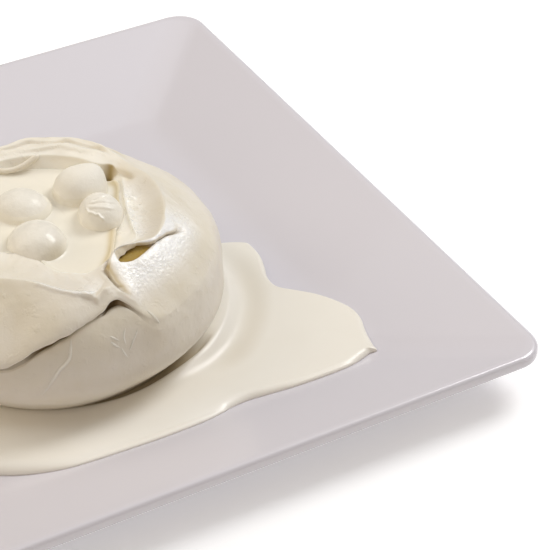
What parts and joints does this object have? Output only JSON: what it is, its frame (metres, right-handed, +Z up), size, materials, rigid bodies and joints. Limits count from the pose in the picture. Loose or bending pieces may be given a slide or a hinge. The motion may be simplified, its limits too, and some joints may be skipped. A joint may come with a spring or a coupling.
{
  "type": "buffalo mozzarella on plate",
  "caption": "Slumped round soft cheese torn open at the top, filled with cream and small cheese pearls, in a pool of cream on a square white dished plate.",
  "frame": {"origin": "middle of the plate's flat underside, on the surface it stands on", "axes": "+Z up; +X and +Y along the plate's edges, with the corner that the pool of cream reaches towards at +X, -Y"},
  "size_m": [0.24, 0.24, 0.055],
  "materials": {
    "porcelain": "white glazed porcelain, smooth and glossy",
    "cheese_skin": "moist ivory cheese skin, satin, slightly translucent",
    "cream": "thick glossy cream, slightly yellow",
    "cheese_pearl": "wet white cheese, glossy, slightly translucent"
  },
  "bodies": {
    "root": {"plate": "porcelain", "pouch": "cheese_skin", "cream_filling": "cream", "cream_pool": "cream", "pearl_1": "cheese_pearl", "pearl_2": "cheese_pearl", "pearl_3": "cheese_pearl", "pearl_4": "cheese_pearl", "pearl_5": "cheese_pearl", "pearl_6": "cheese_pearl"}
  },
  "joints": []
}
